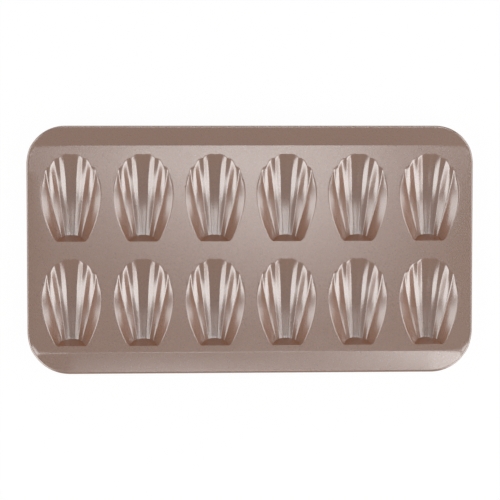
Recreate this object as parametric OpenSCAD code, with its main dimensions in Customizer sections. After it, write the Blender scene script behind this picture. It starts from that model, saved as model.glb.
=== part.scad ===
// Twelve-cup madeleine pan, pressed from one sheet of coated steel. Millimetres, +Z up.
// The pan stands on the undersides of its cups, and the origin is below its middle.
// X runs along the pan, and +Y points to the wide, scalloped end of every shell.

/* [Sheet] */
// Thickness of the steel sheet
sheet = 0.8; // [0.5:0.1:1]
// Outer radius of the curl that finishes the edge
curl_r = 1.6; // [1.3:0.1:2.4]
// How far the sheet turns in the curl, in degrees
curl_turn = 270; // [180:10:290]

/* [Layout] */
// Cups along the pan
cup_cols = 6; // [1:1:8]
// Rows of cups
cup_rows = 2; // [1:1:3]
// Flat land between neighbours in a row
land_x = 9.2; // [4:0.2:30]
// Flat land between the rows
land_y = 14.5; // [4:0.5:40]
// Flat land from the outer cups to the ends of the pan
end_land = 11.6; // [6:0.2:40]
// Flat land from the scalloped ends of the rear row to the rear crease
rear_land = 6.9; // [2:0.1:30]
// Flat land from the hinge ends of the front row to the front crease
front_land = 5.6; // [2:0.1:30]

/* [Flanges] */
// Width of the rear flange, measured up its slope
rear_flange_w = 17.2; // [8:0.1:30]
// Width of the front flange, measured up its slope
front_flange_w = 18.3; // [8:0.1:30]
// Slope of both flanges, in degrees above the deck
flange_tilt = 13; // [0:0.5:30]
// Radius of the rear corners
rear_corner_r = 34; // [8:0.5:50]
// Radius of the front corners
front_corner_r = 37; // [8:0.5:50]

/* [Cup] */
// Width of a cup at its widest place
cup_w = 53.8; // [40:0.2:80]
// Length of a cup from its hinge end to its scalloped end
cup_l = 77.4; // [66:0.2:110]
// Depth of a cup along its middle flute
cup_depth = 15.6; // [8:0.1:22]
// Distance from the hinge end to the widest place
widest_at = 44.4; // [34:0.2:50]
// Width of the hinge end between its rounded corners' tangents
hinge_w = 27.4; // [22:0.2:36]
// Radius in plan of the two hinge corners
hinge_corner_r = 3; // [1:0.1:5]
// Width in plan of the steep end wall at the hinge
end_wall_run = 7.3; // [5:0.1:14]
// Depth over which the lip rolls into the cup
lip_ease = 1.8; // [1:0.1:3]
// Power by which the floor climbs to the scalloped end
floor_power = 4.5; // [2.5:0.1:6]
// Power by which the sides climb to the lip
side_power = 2; // [1.6:0.1:3]

/* [Flutes] */
// Scallops on each half of the fan
lobes = 3; // [2:1:4]
// Distance behind the hinge end of the point from which the flutes spread
fan_pivot = 36.5; // [25:0.5:60]
// Distance from the widest place to the outermost notch of the fan
shoulder_at = 14.1; // [8:0.1:20]
// Length over which the side lobe rounds into that notch
shoulder_ease = 2.4; // [1:0.1:5]
// Extra width of each half of the middle flute, in flute widths
middle_extra = 0.19; // [0:0.01:0.5]
// Outward bow of the outermost creases, in degrees
outer_bow = 1.2; // [0:0.1:2]
// Height of a flute's crest above its creases, for each millimetre of its width
crest_rate = 0.13; // [0.04:0.01:0.2]
// Notch in the outline between the two middle scallops
middle_notch = 0.35; // [0:0.05:1]
// Growth of that notch from one scallop to the next
notch_step = 0.42; // [0:0.02:0.8]

/* [Hidden] */
coat = [0.74, 0.64, 0.59];
half_w = cup_w / 2;
fan_rise = cup_l - widest_at;
raw_depth = cup_depth + lip_ease / 2;
wall_slope = raw_depth / end_wall_run;

// Lines of the cup's grid: phase 0 is the middle crest, a half is a crease, and lobes is the side lip
outer_crease = lobes - 0.5;
crease_steps = 4 * outer_crease;
side_shares = [0.3, 0.6, 0.87, 1];
half_phases = concat(
    [for (k = [1:crease_steps]) k / 4],
    [for (share = side_shares) outer_crease + share / 2]);
half_count = len(half_phases);
phases = concat([for (k = [half_count - 1:-1:0]) -half_phases[k]], [0], half_phases);
floor_steps = [0.2, 0.4, 0.58, 0.73, 0.86, 0.95, 1];
last_i = len(phases) - 1;
last_j = len(floor_steps) + 2;
// Share of the side wall that the flank of the outermost crease takes up
flank_share = 0.5;
// Decay of a flute towards the lip, and of the outline's correction away from it
lip_fade = 8;
least_foot = 0.02;

// Half width of the side lobe before the notch is cut, y from the hinge end
function lobe_half_w(y) =
    y < widest_at
    ? half_w - (half_w - hinge_w / 2) * pow((widest_at - y) / widest_at, 2)
    : half_w * sqrt(1 - pow((y - widest_at) / fan_rise, 2));

// What the rounded corner takes off the half width near the hinge end
function corner_cut(y) =
    y < hinge_corner_r
    ? hinge_corner_r - sqrt(pow(hinge_corner_r, 2) - pow(hinge_corner_r - y, 2))
    : 0;

// Angle from the pivot to the outermost notch
shoulder_angle = atan2(lobe_half_w(widest_at + shoulder_at), widest_at + shoulder_at + fan_pivot);

// Angle from the pivot of a flute line at this phase
function spread(phase) =
    let (start = (0.5 + middle_extra) / (lobes + middle_extra))
    abs(phase) < 0.5
    ? shoulder_angle * start * phase / 0.5
    : shoulder_angle * sign(phase) * (abs(phase) + middle_extra) / (lobes + middle_extra);

// Distance from the pivot to the smooth fan, which is part of an ellipse
function fan_reach(angle) =
    let (
        sx = sin(angle) / half_w,
        sy = cos(angle) / fan_rise,
        offset = (fan_pivot + widest_at) / fan_rise,
        a = sx * sx + sy * sy,
        b = sy * offset)
    (b + sqrt(b * b - a * (offset * offset - 1))) / a;

// Notch between two scallops, deepest at whole phases
function notch(phase) = (middle_notch + notch_step * abs(phase)) * (1 - abs(sin(180 * phase)));

// Point of the scalloped outline at this phase
function fan_point(phase) =
    let (angle = spread(phase), reach = fan_reach(angle) - notch(phase))
    [reach * sin(angle), reach * cos(angle) - fan_pivot];

shoulder = fan_point(lobes);
shoulder_cut = lobe_half_w(shoulder.y) - shoulder.x;

// Point of the side lip, v from 0 at the hinge end to 1 at the shoulder
function side_point(v) =
    let (y = shoulder.y * v)
    [lobe_half_w(y) - corner_cut(y) - shoulder_cut * exp((y - shoulder.y) / shoulder_ease), y];

// Point of a flute line, v from 0 at the hinge end to 1 at the fan
function flute_point(phase, v) =
    let (
        end = fan_point(phase),
        y = end.y * v,
        bow = outer_bow * sin(180 * v) * max(0, abs(phase) - outer_crease + 1))
    [(y + fan_pivot) * tan(spread(phase) + sign(phase) * bow), y];

// Point of a line between the outermost crease and the side lip
function side_line_point(phase, v) =
    let (
        share = 2 * (abs(phase) - outer_crease),
        inner = flute_point(outer_crease, v),
        p = inner + share * (side_point(v) - inner),
        straight = flute_point(outer_crease, 1) + share * (shoulder - flute_point(outer_crease, 1)),
        q = p + pow(v, lip_fade) * (fan_point(abs(phase)) - straight))
    [sign(phase) * q.x, q.y];

// Plan position of any point of the cup
function plan(phase, v) = abs(phase) > outer_crease ? side_line_point(phase, v) : flute_point(phase, v);

// 0 on a crest and 1 in a crease, where two round flutes meet in a sharp valley
function crease(phase) =
    abs(phase) > outer_crease
    ? 1 - sin(90 * min(1, 2 * (abs(phase) - outer_crease) / flank_share))
    : 1 - abs(cos(180 * phase));

// Depth of the fluted bowl before the end wall and the lip cut into it
function bowl_depth(phase, v) =
    let (
        p = plan(phase, v),
        across = min(1, abs(p.x) / side_point(v).x),
        flute_w = (p.y + fan_pivot) * tan(shoulder_angle / (lobes + middle_extra)))
    raw_depth * (1 - pow(v, floor_power)) * (1 - pow(across, side_power))
        + crest_rate * flute_w * crease(phase) * (1 - pow(v, lip_fade));

// A depth with its start rounded, so that the deck rolls into the cup
function eased(depth) = depth < lip_ease ? depth * depth / (2 * lip_ease) : depth - lip_ease / 2;

function cup_point(phase, v) =
    let (p = plan(phase, v))
    [p.x, p.y, -eased(min(bowl_depth(phase, v), wall_slope * p.y))];

// Place on a line where the end wall meets the fluted floor
function foot_guess(phase, v) = bowl_depth(phase, v) / (wall_slope * plan(phase, 1).y);
function foot(phase) = max(least_foot, foot_guess(phase, foot_guess(phase, foot_guess(phase, 0))));

// Places along a line: the lip, the end of its roll, the foot of the end wall, and up the floor
function stations(phase) =
    let (foot_v = foot(phase), roll_v = min(lip_ease / wall_slope / plan(phase, 1).y, foot_v / 2))
    concat([0, roll_v, foot_v], [for (share = floor_steps) foot_v + (1 - foot_v) * share]);

top_grid = [for (phase = phases) [for (v = stations(phase)) cup_point(phase, v)]];

function on_edge(i, j) = i == 0 || i == last_i || j == 0 || j == last_j;
function unit(v) = v / norm(v);
function normal(i, j) =
    on_edge(i, j)
    ? [0, 0, 1]
    : unit(cross(
        top_grid[i + 1][j] - top_grid[i - 1][j],
        top_grid[i][j + 1] - top_grid[i][j - 1]));
under_grid = [for (i = [0:last_i]) [for (j = [0:last_j]) top_grid[i][j] - sheet * normal(i, j)]];

// Outline of a cup at the deck, counter-clockwise from the left hinge corner
cup_outline = concat(
    [for (i = [0:last_i]) [top_grid[i][0].x, top_grid[i][0].y]],
    [for (j = [1:last_j]) [top_grid[last_i][j].x, top_grid[last_i][j].y]],
    [for (i = [last_i - 1:-1:0]) [top_grid[i][last_j].x, top_grid[i][last_j].y]],
    [for (j = [last_j - 1:-1:1]) [top_grid[0][j].x, top_grid[0][j].y]]);

// The deck's height lets the lowest point of the cups touch z = 0
deck_z = -min([for (line = under_grid) for (p = line) p.z]);

pan_l = cup_cols * cup_w + (cup_cols - 1) * land_x + 2 * end_land;
rows_l = cup_rows * cup_l + (cup_rows - 1) * land_y;
// Reach of a folded flange and its curl beyond the crease, in plan
function flange_reach(w) = (w - curl_r) * cos(flange_tilt) + curl_r * sin(flange_tilt) + curl_r;
front_reach = front_land + flange_reach(front_flange_w);
rear_reach = rear_land + flange_reach(rear_flange_w);
front_row_y = -(rows_l + rear_reach - front_reach) / 2;
front_crease_y = front_row_y - front_land;
rear_crease_y = front_row_y + rows_l + rear_land;
front_edge_y = front_crease_y - front_flange_w;
rear_edge_y = rear_crease_y + rear_flange_w;
mitre = tan(flange_tilt / 2);
far = pan_l + rows_l;
round_fn = 96;

function cup_name(row, col) = str("cup_r", row, "_c", col);
function bay_name(col) = str("deck_c", col);
pitch_x = cup_w + land_x;
function cup_x(col) = (col - (cup_cols + 1) / 2) * pitch_x;
function cup_y(row) = front_row_y + (cup_rows - row) * (cup_l + land_y);

// One fluted shell cup with the hinge end at y = 0 and the deck at z = 0
module cup() {
    span = last_j + 1;
    count = (last_i + 1) * span;
    points = [for (grid = [top_grid, under_grid]) for (line = grid) for (p = line) p];
    skins = [
        for (i = [0:last_i - 1]) for (j = [0:last_j - 1])
        let (
            a = i * span + j,
            b = a + 1,
            c = a + span + 1,
            d = a + span,
            halves = i < last_i / 2 ? [[a, b, c], [a, c, d]] : [[a, b, d], [b, c, d]])
        for (f = halves) for (face = [f, [count + f[2], count + f[1], count + f[0]]]) face];
    edge = concat(
        [for (i = [0:last_i]) i * span],
        [for (j = [1:last_j]) last_i * span + j],
        [for (i = [last_i - 1:-1:0]) i * span + last_j],
        [for (j = [last_j - 1:-1:1]) j]);
    rim = [
        for (k = [0:len(edge) - 1])
        let (a = edge[k], b = edge[(k + 1) % len(edge)])
        for (face = [[a, b, b + count], [a, b + count, a + count]]) face];
    polyhedron(points = points, faces = concat(skins, rim));
}

// Plan of the whole blank, drawn in by inset
module blank_plan(inset) {
    straight_x = pan_l / 2 - inset;
    translate([-straight_x, front_edge_y + front_corner_r])
        square([2 * straight_x, rear_edge_y - rear_corner_r - front_edge_y - front_corner_r]);
    corner_band(rear_corner_r, rear_edge_y, 1, inset);
    corner_band(front_corner_r, front_edge_y, -1, inset);
}

// Band along a long edge with a round corner at each end
module corner_band(r, edge_y, outward, inset) {
    centre_x = pan_l / 2 - r;
    centre_y = edge_y - outward * r;
    translate([-centre_x, min(centre_y, edge_y - outward * inset)])
        square([2 * centre_x, r - inset]);
    for (side = [-1, 1])
        translate([side * centre_x, centre_y])
            circle(r - inset, $fn = round_fn);
}

// Everything outside a crease, cut on its mitre. lean is 1 for the deck's side and -1 for the flange's
module outside_rear(lean) {
    rotate([90, 0, 90])
        translate([0, 0, -far])
            linear_extrude(2 * far)
                polygon([
                    [rear_crease_y - lean * mitre * far, deck_z + far],
                    [rear_crease_y + 3 * far, deck_z + far],
                    [rear_crease_y + 3 * far, deck_z - far],
                    [rear_crease_y + lean * mitre * far, deck_z - far]]);
}

module outside_front(lean) {
    translate([0, front_crease_y + rear_crease_y, 0])
        mirror([0, 1, 0])
            outside_rear(lean);
}

module fold_rear() {
    translate([0, rear_crease_y, deck_z])
        rotate([flange_tilt, 0, 0])
            translate([0, -rear_crease_y, -deck_z])
                children();
}

module fold_front() {
    translate([0, front_crease_y, deck_z])
        rotate([-flange_tilt, 0, 0])
            translate([0, -front_crease_y, -deck_z])
                children();
}

module blank() {
    translate([0, 0, deck_z - sheet])
        linear_extrude(sheet)
            blank_plan(curl_r);
}

// Section of the curl: x outward from the sheet's end, y up from its top face
module curl_section() {
    gap = 360 - curl_turn;
    reach = 3 * curl_r;
    translate([0, -curl_r])
        difference() {
            circle(curl_r, $fn = round_fn);
            circle(curl_r - sheet, $fn = round_fn);
            polygon([
                [0, 0],
                [0, reach],
                reach * [-sin(gap / 2), cos(gap / 2)],
                reach * [-sin(gap), cos(gap)]]);
        }
}

// Curl round one corner, from the end of the pan to its long edge
module curl_corner(r, edge_y, outward) {
    translate([pan_l / 2 - r, edge_y - outward * r, deck_z])
        mirror([0, outward > 0 ? 0 : 1, 0])
            rotate_extrude(angle = 90, $fn = round_fn)
                translate([r - curl_r, 0])
                    curl_section();
}

module both_sides() {
    children();
    mirror([1, 0, 0])
        children();
}

// Curl of the right end, flat, with both of its corners
module end_curl() {
    rear_y = rear_edge_y - rear_corner_r;
    translate([pan_l / 2 - curl_r, rear_y, deck_z])
        rotate([90, 0, 0])
            linear_extrude(rear_y - front_edge_y - front_corner_r)
                curl_section();
    curl_corner(rear_corner_r, rear_edge_y, 1);
    curl_corner(front_corner_r, front_edge_y, -1);
}

// Curl along a long edge, before it is folded
module long_curl(r, edge_y, outward) {
    half = pan_l / 2 - r;
    translate([0, edge_y - outward * curl_r, deck_z])
        mirror([0, outward > 0 ? 0 : 1, 0])
            rotate([90, 0, 90])
                translate([0, 0, -half])
                    linear_extrude(2 * half)
                        curl_section();
    both_sides()
        curl_corner(r, edge_y, outward);
}

// Flat deck round one column of cups, from mid-land to mid-land
module deck_bay(col) {
    left = col == 1 ? -far : cup_x(col) - pitch_x / 2;
    right = col == cup_cols ? far : cup_x(col) + pitch_x / 2;
    color(coat)
        difference() {
            intersection() {
                blank();
                translate([left, -far, deck_z - 2 * sheet])
                    cube([right - left, 2 * far, 3 * sheet]);
            }
            outside_rear(1);
            outside_front(1);
            for (row = [1:cup_rows])
                translate([cup_x(col), cup_y(row), deck_z - 2 * sheet])
                    linear_extrude(3 * sheet)
                        polygon(cup_outline);
        }
}

module rear_flange() {
    color(coat)
        fold_rear()
            intersection() {
                blank();
                outside_rear(-1);
            }
}

module front_flange() {
    color(coat)
        fold_front()
            intersection() {
                blank();
                outside_front(-1);
            }
}

module curl_right() {
    color(coat)
        difference() {
            end_curl();
            outside_rear(1);
            outside_front(1);
        }
}

module curl_left() {
    mirror([1, 0, 0])
        curl_right();
}

module curl_rear() {
    color(coat)
        fold_rear()
            intersection() {
                long_curl(rear_corner_r, rear_edge_y, 1);
                outside_rear(-1);
            }
}

module curl_front() {
    color(coat)
        fold_front()
            intersection() {
                long_curl(front_corner_r, front_edge_y, -1);
                outside_front(-1);
            }
}

module placed_cup(row, col) {
    color(coat)
        translate([cup_x(col), cup_y(row), deck_z])
            cup();
}

front_flange();
rear_flange();
curl_left();
curl_right();
curl_front();
curl_rear();
for (col = [1:cup_cols])
    deck_bay(col);
for (row = [1:cup_rows])
    for (col = [1:cup_cols])
        placed_cup(row, col);
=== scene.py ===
import math

import bmesh
import bpy
import numpy as np
from mathutils import Matrix, Vector
from mathutils.geometry import delaunay_2d_cdt


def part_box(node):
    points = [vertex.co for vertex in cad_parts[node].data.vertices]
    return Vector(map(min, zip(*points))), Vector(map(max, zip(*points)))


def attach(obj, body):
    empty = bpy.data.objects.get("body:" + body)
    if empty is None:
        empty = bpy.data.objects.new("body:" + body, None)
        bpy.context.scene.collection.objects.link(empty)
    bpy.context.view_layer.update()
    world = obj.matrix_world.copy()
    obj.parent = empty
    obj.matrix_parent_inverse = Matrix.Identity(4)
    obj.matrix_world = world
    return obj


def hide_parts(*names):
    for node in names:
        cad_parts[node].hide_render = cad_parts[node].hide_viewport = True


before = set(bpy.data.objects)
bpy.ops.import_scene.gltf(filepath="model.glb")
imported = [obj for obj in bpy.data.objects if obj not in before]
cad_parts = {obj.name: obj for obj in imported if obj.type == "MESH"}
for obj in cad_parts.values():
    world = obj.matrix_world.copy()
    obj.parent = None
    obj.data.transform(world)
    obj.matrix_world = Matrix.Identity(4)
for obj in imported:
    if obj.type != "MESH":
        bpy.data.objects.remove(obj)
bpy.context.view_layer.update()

# Sizes in millimetres. The plan, the sheet and the rolled edge are the solid model's. The
# scallops are cut a little deeper here, and the inner form of the cups is taken further.
MM = 0.001
SHEET = 0.8
CURL_R = 1.6
CURL_TURN = 270
COLUMNS = 6
ROWS = 2
LAND_X = 9.2
LAND_Y = 14.5
END_LAND = 11.6
REAR_LAND = 6.9
FRONT_LAND = 5.6
REAR_FLANGE_W = 17.2
FRONT_FLANGE_W = 18.3
FLANGE_TILT = math.radians(13)
REAR_CORNER_R = 34
FRONT_CORNER_R = 37

# One cup, its hinge end at y = 0
CUP_W = 53.8
CUP_L = 77.4
CUP_DEPTH = 14.9
WIDEST_AT = 44.4
HINGE_W = 27.4
HINGE_CORNER_R = 3
END_WALL_RUN = 5.2
LIP_EASE = 1.1
FLOOR_FLAT = 0.3
FLOOR_CLIMB = 2.6
FLOOR_BELLY = 0.04
SIDE_POWER = 2.3
SIDE_STRAIGHT = 0.6
# The fan: whole flutes on each half, and the point behind the hinge that they spread from
LOBES = 3
FAN_PIVOT = 36.5
SHOULDER_AT = 14.1
SHOULDER_EASE = 2.4
MIDDLE_EXTRA = 0.19
OUTER_BOW = math.radians(1.2)
# Crests and creases of the flutes, and the notches of the scallops
CREST_RATE = 0.075
MIDDLE_CREST = 0.75
OUTER_DEEPER = 1.2
MIDDLE_NOTCH = 0.75
NOTCH_STEP = 0.46
FLANK_SHARE = 0.5
# Power by which the flutes give way to the scalloped lip
LIP_FADE = 22
# Height over which the end wall and the floor round into each other
FOOT_ROUND = 0.06

# Lines of a cup's grid, crowded together beside the lip, the foot of the wall and the fan
LINES_PER_FLUTE = 16
SIDE_LINES = 14
SIDE_CROWDING = 1.5
ROLL_LINES = 5
WALL_LINES = 8
FLOOR_LINES = 40
FLOOR_CROWDING = 1.7
LAST_ON_WALL = 0.98
FIRST_ON_FLOOR = 0.002
FOOT_TRIES = 6
LEAST_FOOT = 0.02

HALF_W = CUP_W / 2
FAN_RISE = CUP_L - WIDEST_AT
RAW_DEPTH = CUP_DEPTH + LIP_EASE / 2
WALL_SLOPE = RAW_DEPTH / END_WALL_RUN
OUTER_CREASE = LOBES - 0.5

# Crease of the flanges: half the length of the bend, and how it softens and turns at the corners
CREASE_BEND = 0.3
CORNER_BEND = 5.0
CORNER_REACH = 30.0
# Flat band that the outer edge keeps round the corners of the flanges
EDGE_BAND = 3.5
BAND_FADE = 14.0
BAND_RISE = 3
BAND_BLEND = 1.5
NO_BAND = -9

# How finely the sheet is divided along its outline, beside the creases, in the corners
# and round the curl, and how far those points keep from the rim and the cups
OUTLINE_STEP = 3
CORNER_TURNS = 37
CREASE_LINES = 5
CREASE_STEP = 3.0
CREASE_ENDS = 6
CORNER_STEP = 1.25
CORNER_MARGIN = 4
CORNER_DEPTH = 22
CLEAR_OF_RIM = 0.5
CLEAR_OF_CUP = 0.6
NEAR_CUP = 0.8
CURL_TURNS = 31
SAME_POINT = 1e-4
PROBE = 0.05

PAN_L = COLUMNS * CUP_W + (COLUMNS - 1) * LAND_X + 2 * END_LAND
ROWS_L = ROWS * CUP_L + (ROWS - 1) * LAND_Y


def flange_reach(width):
    """Reach of a folded flange and its curl beyond the crease."""
    return (width - CURL_R) * math.cos(FLANGE_TILT) + CURL_R * math.sin(FLANGE_TILT) + CURL_R


FRONT_ROW_Y = -(ROWS_L + REAR_LAND + flange_reach(REAR_FLANGE_W)
                - FRONT_LAND - flange_reach(FRONT_FLANGE_W)) / 2
FRONT_CREASE_Y = FRONT_ROW_Y - FRONT_LAND
REAR_CREASE_Y = FRONT_ROW_Y + ROWS_L + REAR_LAND
FRONT_EDGE_Y = FRONT_CREASE_Y - FRONT_FLANGE_W
REAR_EDGE_Y = REAR_CREASE_Y + REAR_FLANGE_W
# Corner radius, edge and outward direction of the two long sides of the blank
LONG_SIDES = ((REAR_CORNER_R, REAR_EDGE_Y, 1), (FRONT_CORNER_R, FRONT_EDGE_Y, -1))


def cup_places():
    """Name, x and y of the hinge end of every cup."""
    for row in range(1, ROWS + 1):
        for col in range(1, COLUMNS + 1):
            x = (col - (COLUMNS + 1) / 2) * (CUP_W + LAND_X)
            y = FRONT_ROW_Y + (ROWS - row) * (CUP_L + LAND_Y)
            yield "r%d_c%d" % (row, col), x, y


# The fluted cup
def lobe_half_w(y):
    """Half the width of the plain shell, from its waist to the ellipse of its fan."""
    waist = HALF_W - (HALF_W - HINGE_W / 2) * ((WIDEST_AT - y) / WIDEST_AT) ** 2
    fan = HALF_W * np.sqrt(np.clip(1 - ((y - WIDEST_AT) / FAN_RISE) ** 2, 0, 1))
    return np.where(y < WIDEST_AT, waist, fan)


def corner_cut(y):
    """What the round corner at the hinge takes off the half width."""
    r = HINGE_CORNER_R
    return r - np.sqrt(r * r - np.clip(r - y, 0, r) ** 2)


SHOULDER_ANGLE = float(np.arctan2(
    lobe_half_w(WIDEST_AT + SHOULDER_AT), WIDEST_AT + SHOULDER_AT + FAN_PIVOT))


def spread(phase):
    """Angle of a flute line from the pivot: phase 0 is the middle crest, a half is a crease."""
    size = np.abs(phase)
    start = (0.5 + MIDDLE_EXTRA) / (LOBES + MIDDLE_EXTRA)
    return SHOULDER_ANGLE * np.sign(phase) * np.where(
        size < 0.5, start * size / 0.5, (size + MIDDLE_EXTRA) / (LOBES + MIDDLE_EXTRA))


def fan_reach(angle):
    """Distance from the pivot to the ellipse of the fan."""
    sx = np.sin(angle) / HALF_W
    sy = np.cos(angle) / FAN_RISE
    offset = (FAN_PIVOT + WIDEST_AT) / FAN_RISE
    a = sx * sx + sy * sy
    b = sy * offset
    return (b + np.sqrt(b * b - a * (offset * offset - 1))) / a


def fan_point(phase):
    """Point of the scalloped outline."""
    angle = spread(phase)
    notch = (MIDDLE_NOTCH + NOTCH_STEP * np.abs(phase)) * (1 - np.abs(np.sin(np.pi * phase)))
    reach = fan_reach(angle) - notch
    return reach * np.sin(angle), reach * np.cos(angle) - FAN_PIVOT


SHOULDER_X, SHOULDER_Y = (float(value) for value in fan_point(np.array(float(LOBES))))
SHOULDER_CUT = float(lobe_half_w(np.array(SHOULDER_Y))) - SHOULDER_X


def side_point(v):
    """Point of the side of the outline: v is 0 at the hinge and 1 at the shoulder."""
    y = SHOULDER_Y * v
    cut = SHOULDER_CUT * np.exp((y - SHOULDER_Y) / SHOULDER_EASE)
    return lobe_half_w(y) - corner_cut(y) - cut, y


def flute_point(phase, v):
    """Point along a flute line: v is 0 at the hinge and 1 at the scallop."""
    y = fan_point(phase)[1] * v
    bow = OUTER_BOW * np.sin(np.pi * v) * np.maximum(0, np.abs(phase) - OUTER_CREASE + 1)
    return (y + FAN_PIVOT) * np.tan(spread(phase) + np.sign(phase) * bow), y


def side_line_point(phase, v):
    """Point of a line between the outermost crease and the side of the outline."""
    share = 2 * (np.abs(phase) - OUTER_CREASE)
    edge = np.full_like(phase, OUTER_CREASE)
    inner_x, inner_y = flute_point(edge, v)
    side_x, side_y = side_point(v)
    end_x, end_y = flute_point(edge, np.ones_like(v))
    fan_x, fan_y = fan_point(np.abs(phase))
    fade = v ** LIP_FADE
    to_fan_x = fan_x - end_x - share * (SHOULDER_X - end_x)
    to_fan_y = fan_y - end_y - share * (SHOULDER_Y - end_y)
    x = inner_x + share * (side_x - inner_x) + fade * to_fan_x
    y = inner_y + share * (side_y - inner_y) + fade * to_fan_y
    return np.sign(phase) * x, y


def cup_plan(phase, v):
    """Place in plan of any point of the cup."""
    outside = np.abs(phase) > OUTER_CREASE
    side = side_line_point(phase, v)
    flute = flute_point(phase, v)
    return np.where(outside, side[0], flute[0]), np.where(outside, side[1], flute[1])


def crease(phase):
    """0 on a crest and 1 in a crease, where two round flutes meet in a sharp valley."""
    size = np.abs(phase)
    flank = np.clip(2 * (size - OUTER_CREASE) / FLANK_SHARE, 0, 1)
    crest = np.where(size < 0.5, MIDDLE_CREST, 1) * np.abs(np.cos(np.pi * phase))
    deeper = 1 + OUTER_DEEPER * np.clip(2 * (size - OUTER_CREASE) + 1, 0, 1)
    return deeper * np.where(size > OUTER_CREASE, 1 - np.sin(np.pi / 2 * flank), 1 - crest)


def floor_profile(v):
    """1 along the flat of the floor, then an arc up to 0 at the scalloped end."""
    climb = np.clip((v - FLOOR_FLAT) / (1 - FLOOR_FLAT), 0, 1)
    return (1 - climb ** FLOOR_CLIMB) * (1 + 4 * FLOOR_BELLY * v * (1 - v))


def side_profile(across):
    """1 in the middle and 0 at the lip: round first, then a straight side wall."""
    slope = SIDE_POWER * SIDE_STRAIGHT ** (SIDE_POWER - 1)
    rise = SIDE_STRAIGHT ** SIDE_POWER + slope * (1 - SIDE_STRAIGHT)
    middle = 1 - across ** SIDE_POWER / rise
    return np.where(across < SIDE_STRAIGHT, middle, slope * (1 - across) / rise)


def bowl_depth(phase, v):
    """Depth of the floor and side walls with their flutes, before the end wall and the lip."""
    x, y = cup_plan(phase, v)
    across = np.minimum(1, np.abs(x) / side_point(v)[0])
    flute_w = (y + FAN_PIVOT) * math.tan(SHOULDER_ANGLE / (LOBES + MIDDLE_EXTRA))
    return (RAW_DEPTH * floor_profile(v) * side_profile(across)
            + CREST_RATE * flute_w * crease(phase) * (1 - v ** LIP_FADE))


def cup_depth_at(phase, v):
    """Depth under the deck, with the end wall, its round foot and the roll of the lip."""
    bowl = bowl_depth(phase, v)
    wall = WALL_SLOPE * cup_plan(phase, v)[1]
    gap = np.clip(FOOT_ROUND - np.abs(bowl - wall), 0, None)
    depth = np.minimum(bowl, wall) - gap * gap / (4 * FOOT_ROUND)
    depth = np.maximum(depth, 0)
    return np.where(depth < LIP_EASE, depth * depth / (2 * LIP_EASE), depth - LIP_EASE / 2)


def flute_phases():
    """Lines of the cup, even across the flutes and closer together towards the side lip."""
    flutes = np.arange(1, int(LINES_PER_FLUTE * OUTER_CREASE) + 1) / LINES_PER_FLUTE
    outward = np.arange(1, SIDE_LINES + 1) / SIDE_LINES
    sides = OUTER_CREASE + 0.5 * (1 - (1 - outward) ** SIDE_CROWDING)
    half = np.concatenate([flutes, sides])
    return np.concatenate([-half[::-1], [0.0], half])


def cup_skins():
    """Upper and lower skin of one cup as grids of points, hinge end at y = 0 and deck at z = 0."""
    phases = flute_phases()
    foot = np.zeros_like(phases)
    reach = cup_plan(phases, np.ones_like(phases))[1]
    for _ in range(FOOT_TRIES):
        foot = bowl_depth(phases, foot) / (WALL_SLOPE * reach)
    foot = np.maximum(foot, LEAST_FOOT)
    roll = np.minimum(LIP_EASE / WALL_SLOPE / reach, foot / 2)
    up_wall = np.append(np.arange(WALL_LINES) / WALL_LINES, LAST_ON_WALL)
    along = np.arange(1, FLOOR_LINES + 1) / FLOOR_LINES
    on_floor = np.concatenate([[FIRST_ON_FLOOR], 1 - (1 - along) ** FLOOR_CROWDING])
    lines = []
    for foot_v, roll_v in zip(foot, roll):
        lines.append(np.concatenate([
            roll_v * np.arange(ROLL_LINES) / ROLL_LINES,
            roll_v + (foot_v - roll_v) * up_wall,
            [foot_v],
            foot_v + (1 - foot_v) * on_floor]))
    v = np.array(lines)
    phase = np.repeat(phases[:, None], v.shape[1], axis=1)
    x, y = cup_plan(phase, v)
    upper = np.stack([x, y, -cup_depth_at(phase, v)], axis=2)
    normal = np.cross(np.gradient(upper, axis=0), np.gradient(upper, axis=1))
    normal /= np.maximum(np.linalg.norm(normal, axis=2, keepdims=True), 1e-9)
    for edge in (normal[0], normal[-1], normal[:, 0], normal[:, -1]):
        edge[:] = (0, 0, 1)
    return upper, upper - SHEET * normal


def loop_round(grid):
    """The grid's border, counter-clockwise."""
    return np.concatenate([grid[:, 0], grid[-1, 1:], grid[-2::-1, -1], grid[0, -2:0:-1]])


def new_piece(name, points, faces):
    """Smooth piece of the pan, on its one body, from points in millimetres."""
    mesh = bpy.data.meshes.new(name)
    mesh.from_pydata((np.asarray(points) * MM).tolist(), [], faces)
    mesh.validate()
    for polygon in mesh.polygons:
        polygon.use_smooth = True
    piece = bpy.data.objects.new(name, mesh)
    bpy.context.scene.collection.objects.link(piece)
    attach(piece, "root")
    return piece


def shell_cup(name, x, y, skins):
    """One shell cup of the pressing, upper and lower skin."""
    across, along = skins[0].shape[:2]
    points = np.concatenate([skin.reshape(-1, 3) for skin in skins]) + (x, y, DECK_Z)
    count = across * along
    faces = []
    for i in range(across - 1):
        for j in range(along - 1):
            a = i * along + j
            b, c, d = a + 1, a + along + 1, a + along
            faces.append((a, d, c, b))
            faces.append((count + a, count + b, count + c, count + d))
    piece = new_piece("shell_" + name, points, faces)
    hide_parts("cup_" + name)
    return piece


# The deck, its folded flanges and the curl round them
def smooth_max(a, b, blend):
    """The greater of two heights, with a round where they cross."""
    gap = np.clip(blend - np.abs(a - b), 0, None)
    return np.maximum(a, b) + gap * gap / (4 * blend)


def bend(distance, half_length):
    """0 before the crease, the distance beyond it after, and a round bend between."""
    middle = (distance + half_length) ** 2 / (4 * half_length)
    return np.where(distance < -half_length, 0, np.where(distance > half_length, distance, middle))


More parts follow.
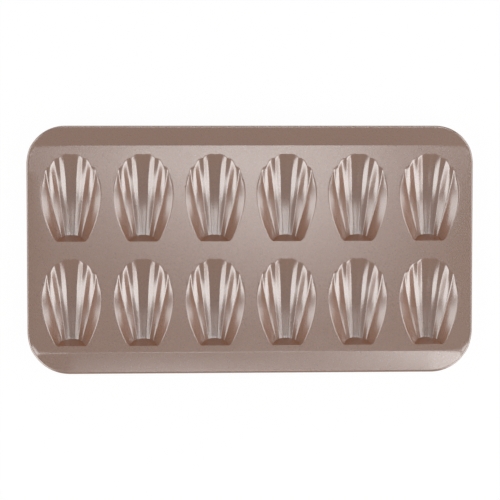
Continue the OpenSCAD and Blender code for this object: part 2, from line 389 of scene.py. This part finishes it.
def edge_distance(x, y):
    """Distance in from the outer edge of the flat blank."""
    inside = []
    for corner_r, edge_y, outward in LONG_SIDES:
        dx = np.abs(x) - (PAN_L / 2 - corner_r)
        dy = outward * y - (outward * edge_y - corner_r)
        straight = np.minimum(corner_r - dx, corner_r - dy)
        inside.append(np.where((dx > 0) & (dy > 0), corner_r - np.hypot(dx, dy), straight))
    return np.minimum(*inside)


def sheet_point(x, y):
    """Place in the pressed pan of a point of the flat blank."""
    x, y = np.asarray(x, float), np.asarray(y, float)
    near_end = np.clip((np.abs(x) - (PAN_L / 2 - CORNER_REACH)) / CORNER_REACH, 0, 1)
    half_bend = CREASE_BEND + (CORNER_BEND - CREASE_BEND) * near_end ** 2
    lift = np.zeros_like(x)
    shift = np.zeros_like(x)
    for crease_y, outward in ((REAR_CREASE_Y, 1), (FRONT_CREASE_Y, -1)):
        beyond = outward * (y - crease_y)
        fold = bend(beyond, half_bend)
        fade = np.clip(1 + beyond / BAND_FADE, 0, 1)
        band = EDGE_BAND * fade * fade * (3 - 2 * fade) * np.minimum(1, near_end * BAND_RISE)
        band = np.where(near_end > 0, band - edge_distance(x, y), NO_BAND)
        lift += np.where(beyond > -BAND_FADE, smooth_max(fold, band, BAND_BLEND), 0)
        shift -= outward * (1 - math.cos(FLANGE_TILT)) * fold
    return np.stack([x, y + shift, DECK_Z + math.sin(FLANGE_TILT) * lift], axis=-1)


def sheet_normal(x, y):
    """Upward direction of the pressed sheet at a point of the blank."""
    along = sheet_point(x + PROBE, y) - sheet_point(x - PROBE, y)
    across = sheet_point(x, y + PROBE) - sheet_point(x, y - PROBE)
    normal = np.cross(along, across)
    return normal / np.linalg.norm(normal, axis=-1, keepdims=True)


def blank_outline():
    """Points and outward directions round the blank where the curl starts, counter-clockwise."""
    points, outward = [], []
    for corner_r, edge_y, side_y in LONG_SIDES:
        for side_x in (1, -1) if side_y > 0 else (-1, 1):
            for turn in np.linspace(0, math.pi / 2, CORNER_TURNS):
                if side_x * side_y > 0:
                    direction = np.array([side_x * math.cos(turn), side_y * math.sin(turn)])
                else:
                    direction = np.array([side_x * math.sin(turn), side_y * math.cos(turn)])
                centre = np.array([side_x * (PAN_L / 2 - corner_r), edge_y - side_y * corner_r])
                points.append(centre + (corner_r - CURL_R) * direction)
                outward.append(direction)
    full_points, full_outward = [], []
    for k, point in enumerate(points):
        after = points[(k + 1) % len(points)]
        pieces = max(1, int(np.linalg.norm(after - point) / OUTLINE_STEP))
        for part in range(pieces):
            full_points.append(point + (after - point) * part / pieces)
            full_outward.append(outward[k])
    return np.array(full_points), np.array(full_outward)


def inner_points(loops):
    """Points that let the sheet bend: lines beside the creases, and a fine grid in the corners."""
    points = []
    for crease_y in (REAR_CREASE_Y, FRONT_CREASE_Y):
        for offset in np.linspace(-1, 1, CREASE_LINES) * CREASE_BEND:
            for x in np.arange(-PAN_L / 2 + CREASE_ENDS, PAN_L / 2 - CREASE_ENDS, CREASE_STEP):
                points.append((x, crease_y + offset))
        for x in np.arange(-PAN_L / 2, PAN_L / 2 + 1, CORNER_STEP):
            if abs(x) > PAN_L / 2 - CORNER_REACH - CORNER_MARGIN:
                for y in np.arange(crease_y - CORNER_DEPTH, crease_y + CORNER_DEPTH, CORNER_STEP):
                    points.append((x, y))
    points = np.array(points)
    points = points[edge_distance(points[:, 0], points[:, 1]) > CURL_R + CLEAR_OF_RIM]
    keep = np.ones(len(points), bool)
    for loop in loops:
        low, high = loop.min(0) - NEAR_CUP, loop.max(0) + NEAR_CUP
        near = np.all((points > low) & (points < high), axis=1)
        keep &= ~(near & in_loop(points, loop, CLEAR_OF_CUP))
    return points[keep]


def in_loop(points, loop, margin=0.0):
    """True for the points inside a closed loop, or within a margin of it."""
    x, y = points[:, 0:1], points[:, 1:2]
    ax, ay = loop[None, :, 0], loop[None, :, 1]
    bx, by = np.roll(ax, -1), np.roll(ay, -1)
    with np.errstate(divide="ignore", invalid="ignore"):
        crossing = ((ay > y) != (by > y)) & (x < (bx - ax) * (y - ay) / (by - ay) + ax)
    inside = crossing.sum(axis=1) % 2 == 1
    if margin:
        inside |= (np.hypot(ax - x, ay - y).min(axis=1) < margin)
    return inside


def pan_sheet(cup_loop):
    """Deck, flanges and rolled rim: one sheet with an opening for every cup."""
    outline, outward = blank_outline()
    holes = [cup_loop + (x, y) for _, x, y in cup_places()]
    corners = [Vector(p) for p in outline]
    edges = []
    for hole in holes:
        first = len(corners)
        corners += [Vector(p) for p in hole]
        edges += [(first + k, first + (k + 1) % len(hole)) for k in range(len(hole))]
    corners += [Vector(p) for p in inner_points(holes)]
    rim = [list(range(len(outline)))]
    flat, _, triangles, *_ = delaunay_2d_cdt(corners, edges, rim, 1, SAME_POINT)
    flat = np.array([tuple(p) for p in flat])
    middles = np.array([flat[list(t)].mean(axis=0) for t in triangles])
    in_hole = np.zeros(len(middles), bool)
    for hole in holes:
        near = np.all((middles > hole.min(0)) & (middles < hole.max(0)), axis=1)
        index = np.nonzero(near)[0]
        in_hole[index] |= in_loop(middles[index], hole)
    triangles = [tuple(t) for t, gone in zip(triangles, in_hole) if not gone]
    normal = sheet_normal(flat[:, 0], flat[:, 1])
    upper = sheet_point(flat[:, 0], flat[:, 1])
    points = [upper, upper - SHEET * normal]
    count = len(flat)
    faces = triangles + [tuple(count + k for k in reversed(t)) for t in triangles]

    edge_normal = sheet_normal(outline[:, 0], outline[:, 1])
    edge_point = sheet_point(outline[:, 0], outline[:, 1])
    beyond = outline + PROBE * outward
    ahead = sheet_point(beyond[:, 0], beyond[:, 1]) - edge_point
    ahead /= np.linalg.norm(ahead, axis=1, keepdims=True)
    rings = []
    turns = np.radians(np.linspace(0, CURL_TURN, CURL_TURNS))
    for radius, order in ((CURL_R, turns), (CURL_R - SHEET, turns[::-1])):
        for turn in order:
            rings.append(edge_point + ahead * radius * math.sin(turn)
                         + edge_normal * (radius * math.cos(turn) - CURL_R))
    start = 2 * count
    size = len(outline)
    near_upper = [int(np.argmin(np.hypot(*(flat - p).T))) for p in outline]
    names = [near_upper]
    names += [[start + r * size + k for k in range(size)] for r in range(1, len(rings) - 1)]
    names.append([count + k for k in near_upper])
    points += rings
    for ring, after in zip(names, names[1:]):
        for k in range(size):
            m = (k + 1) % size
            faces.append((ring[k], after[k], after[m], ring[m]))
    piece = new_piece("pan_sheet", np.concatenate(points), faces)
    clear_loose_points(piece)
    bays = ["deck_c%d" % col for col in range(1, COLUMNS + 1)]
    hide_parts(*bays, "rear_flange", "front_flange",
                "curl_left", "curl_right", "curl_rear", "curl_front")
    return piece


def clear_loose_points(piece):
    """Take out the points that no face uses."""
    used = set()
    for polygon in piece.data.polygons:
        used.update(polygon.vertices)
    shape = bmesh.new()
    shape.from_mesh(piece.data)
    bmesh.ops.delete(shape, geom=[v for v in shape.verts if v.index not in used], context="VERTS")
    shape.to_mesh(piece.data)
    shape.free()


# Shader maths
class Shade:
    """A material's node tree, and sockets that can be added, multiplied and compared."""

    def __init__(self, name):
        self.material = bpy.data.materials.new(name)
        self.material.use_nodes = True
        self.tree = self.material.node_tree
        self.tree.nodes.clear()

    def node(self, kind, settings=None, **values):
        made = self.tree.nodes.new(kind)
        for key, value in (settings or {}).items():
            setattr(made, key, value)
        for key, value in values.items():
            name = key.replace("_", " ")
            socket = next(s for s in made.inputs if s.name == name and s.enabled)
            self.put(socket, value)
        return made

    def put(self, socket, value):
        if isinstance(value, Socket):
            value = value.socket
        if isinstance(value, bpy.types.NodeSocket):
            self.tree.links.new(value, socket)
        else:
            socket.default_value = value

    def out(self, made, name=None):
        return Socket(self, made.outputs[name] if name else made.outputs[0])

    def mix(self, factor, a, b):
        made = self.tree.nodes.new("ShaderNodeMix")
        made.data_type = "RGBA"
        sockets = {s.identifier: s for s in made.inputs}
        self.put(sockets["Factor_Float"], factor)
        self.put(sockets["A_Color"], a)
        self.put(sockets["B_Color"], b)
        return Socket(self, next(s for s in made.outputs if s.identifier == "Result_Color"))


class Socket:
    """A value in a material, with Python's operators."""

    def __init__(self, shade, socket):
        self.shade = shade
        self.socket = socket

    def math(self, operation, a, b=None):
        made = self.shade.tree.nodes.new("ShaderNodeMath")
        made.operation = operation
        self.shade.put(made.inputs[0], a)
        if b is not None:
            self.shade.put(made.inputs[1], b)
        return Socket(self.shade, made.outputs[0])

    def __add__(self, other):
        return self.math("ADD", self, other)

    def __radd__(self, other):
        return self.math("ADD", other, self)

    def __sub__(self, other):
        return self.math("SUBTRACT", self, other)

    def __mul__(self, other):
        return self.math("MULTIPLY", self, other)

    def clamped(self):
        return self.math("MINIMUM", self.math("MAXIMUM", self, 0.0), 1.0)


# The coat: its colour where the grain is dark and where it is light, and its shine
COAT_DARK = (0.33, 0.145, 0.075)
COAT_LIGHT = (0.45, 0.21, 0.115)
COAT_METALLIC = 0.0
COAT_ROUGHNESS = 0.23
COAT_IOR = 4.2

# Its grain: sizes in metres, and how far each part moves the colour, height and roughness
GRAIN_SIZE = 0.0009
FLECK_SIZE = 0.00035
DRIFT_SCALE = 14.0
GRAIN_SHADE = 1.5
FLECK_SHADE = 0.9
GRAIN_HEIGHT = 0.6
FLECK_HEIGHT = 0.4
BUMP_STRENGTH = 0.09
BUMP_DEPTH = 0.0002
DRIFT_ROUGHNESS = 0.04
FLECK_ROUGHNESS = 0.05


def noise(shade, place, scale, detail):
    """Even noise round a half."""
    made = shade.node("ShaderNodeTexNoise", Vector=place, Scale=scale, Detail=detail)
    return shade.out(made, "Fac")


def coating():
    """Champagne metallic non-stick coating with a fine grain."""
    shade = Shade("champagne_coating")
    place = shade.out(shade.node("ShaderNodeTexCoord"), "Object")
    grain = noise(shade, place, 1 / GRAIN_SIZE, 2.0)
    fleck = noise(shade, place, 1 / FLECK_SIZE, 1.0)
    drift = noise(shade, place, DRIFT_SCALE, 2.0)
    speckle = ((grain - 0.5) * GRAIN_SHADE + (fleck - 0.5) * FLECK_SHADE + 0.5).clamped()
    colour = shade.mix(speckle, (*COAT_DARK, 1), (*COAT_LIGHT, 1))
    height = grain * GRAIN_HEIGHT + fleck * FLECK_HEIGHT
    bump = shade.node(
        "ShaderNodeBump", Height=height, Strength=BUMP_STRENGTH, Distance=BUMP_DEPTH)
    roughness = (COAT_ROUGHNESS + (drift - 0.5) * DRIFT_ROUGHNESS
                 + (fleck - 0.5) * FLECK_ROUGHNESS)
    surface = shade.node(
        "ShaderNodeBsdfPrincipled", Base_Color=colour, Metallic=COAT_METALLIC,
        Roughness=roughness, IOR=COAT_IOR, Normal=shade.out(bump))
    shade.node("ShaderNodeOutputMaterial", Surface=shade.out(surface))
    return shade.material


# The floor: its size and height in millimetres, and how white it shows to the camera
FLOOR_HALF = 4000
FLOOR_Z = -0.2
PAPER = (0.85, 0.85, 0.85, 1)
GLOW = 1.03
GLOW_SHARE = 0.94

# The light: level all round, then each soft box with its direction in degrees (azimuth and
# angle from overhead), distance and size in metres, and brightness
WORLD_LEVEL = 0.24
SOFT_BOXES = (
    ("top_box", 64, 4.0, 1.75, (0.52, 0.30), 1.5),
    ("front_left_box", 213, 64, 1.6, (1.0, 1.5), 1.45),
    ("front_right_box", 327, 64, 1.6, (1.0, 1.5), 1.55),
    ("left_box", 168, 64, 1.6, (0.8, 1.3), 1.0),
    ("right_box", 12, 64, 1.6, (0.8, 1.3), 1.1),
    ("rear_box", 90, 70, 1.6, (1.4, 0.4), 1.3),
    ("rear_right_box", 38, 26, 1.95, (0.5, 0.5), 2.2),
)


def floor():
    """Pale floor that shows white to the camera and still takes the pan's shadow."""
    shade = Shade("pale_floor")
    path = shade.node("ShaderNodeLightPath")
    seen = shade.out(path, "Is Camera Ray")
    paper = shade.node("ShaderNodeBsdfDiffuse", Color=PAPER)
    glow = shade.node("ShaderNodeEmission", Color=(1, 1, 1, 1), Strength=GLOW)
    both = shade.tree.nodes.new("ShaderNodeMixShader")
    shade.put(both.inputs[0], seen * GLOW_SHARE)
    shade.put(both.inputs[1], paper.outputs[0])
    shade.put(both.inputs[2], glow.outputs[0])
    shade.node("ShaderNodeOutputMaterial", Surface=both.outputs[0])
    mesh = bpy.data.meshes.new("floor")
    corners = [(FLOOR_HALF * x * MM, FLOOR_HALF * y * MM, FLOOR_Z * MM)
               for x, y in ((-1, -1), (1, -1), (1, 1), (-1, 1))]
    mesh.from_pydata(corners, [], [(0, 1, 2, 3)])
    mesh.materials.append(shade.material)
    piece = bpy.data.objects.new("floor", mesh)
    bpy.context.scene.collection.objects.link(piece)


def soft_box(name, azimuth, zenith, distance, size, radiance):
    """Soft box that faces the pan from a direction in degrees, evenly bright."""
    turn, fall = math.radians(azimuth), math.radians(zenith)
    away = Vector((
        math.sin(fall) * math.cos(turn), math.sin(fall) * math.sin(turn), math.cos(fall)))
    lamp = bpy.data.lights.new(name, "AREA")
    lamp.shape = "RECTANGLE"
    lamp.size, lamp.size_y = size
    lamp.energy = radiance * math.pi * size[0] * size[1]
    thing = bpy.data.objects.new(name, lamp)
    bpy.context.scene.collection.objects.link(thing)
    thing.location = away * distance
    thing.rotation_euler = away.to_track_quat("Z", "Y").to_euler()
    thing.visible_camera = False


def lights():
    """Even studio light and the soft boxes."""
    world = bpy.data.worlds.new("studio")
    world.use_nodes = True
    sky = world.node_tree.nodes["Background"]
    sky.inputs["Color"].default_value = (1, 1, 1, 1)
    sky.inputs["Strength"].default_value = WORLD_LEVEL
    bpy.context.scene.world = world
    for name, *values in SOFT_BOXES:
        soft_box(name, *values)


# The camera, in metres, as fitted to the outline of the pan and the places of its cups
CAMERA_HEIGHT = 1.8
CAMERA_PLACE = (-0.100, 0.110)
CAMERA_TARGET = (-0.0009, -0.0004)
CAMERA_LENS = 146.7
CAMERA_SENSOR = 36
CAMERA_CLIP = (0.05, 20)


def camera():
    """Camera almost straight above, with the front of the pan at the bottom of the picture."""
    view = bpy.data.cameras.new("camera")
    view.lens = CAMERA_LENS
    view.sensor_width = CAMERA_SENSOR
    view.sensor_fit = "HORIZONTAL"
    view.clip_start, view.clip_end = CAMERA_CLIP
    thing = bpy.data.objects.new("camera", view)
    bpy.context.scene.collection.objects.link(thing)
    thing.location = (*CAMERA_PLACE, CAMERA_HEIGHT)
    direction = Vector((*CAMERA_TARGET, DECK_Z * MM)) - thing.location
    back = -direction.normalized()
    right = Vector((0, 1, 0)).cross(back).normalized()
    up = back.cross(right)
    thing.matrix_world = Matrix((
        (right.x, up.x, back.x, thing.location.x),
        (right.y, up.y, back.y, thing.location.y),
        (right.z, up.z, back.z, thing.location.z),
        (0, 0, 0, 1)))
    bpy.context.scene.camera = thing


DECK_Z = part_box("deck_c1")[1].z / MM

skins = cup_skins()
finish_coat = coating()
for cup_name, cup_x, cup_y in cup_places():
    shell_cup(cup_name, cup_x, cup_y, skins).data.materials.append(finish_coat)
pan_sheet(loop_round(skins[0])[:, :2]).data.materials.append(finish_coat)
floor()
lights()
camera()
bpy.context.scene.view_settings.view_transform = "Standard"
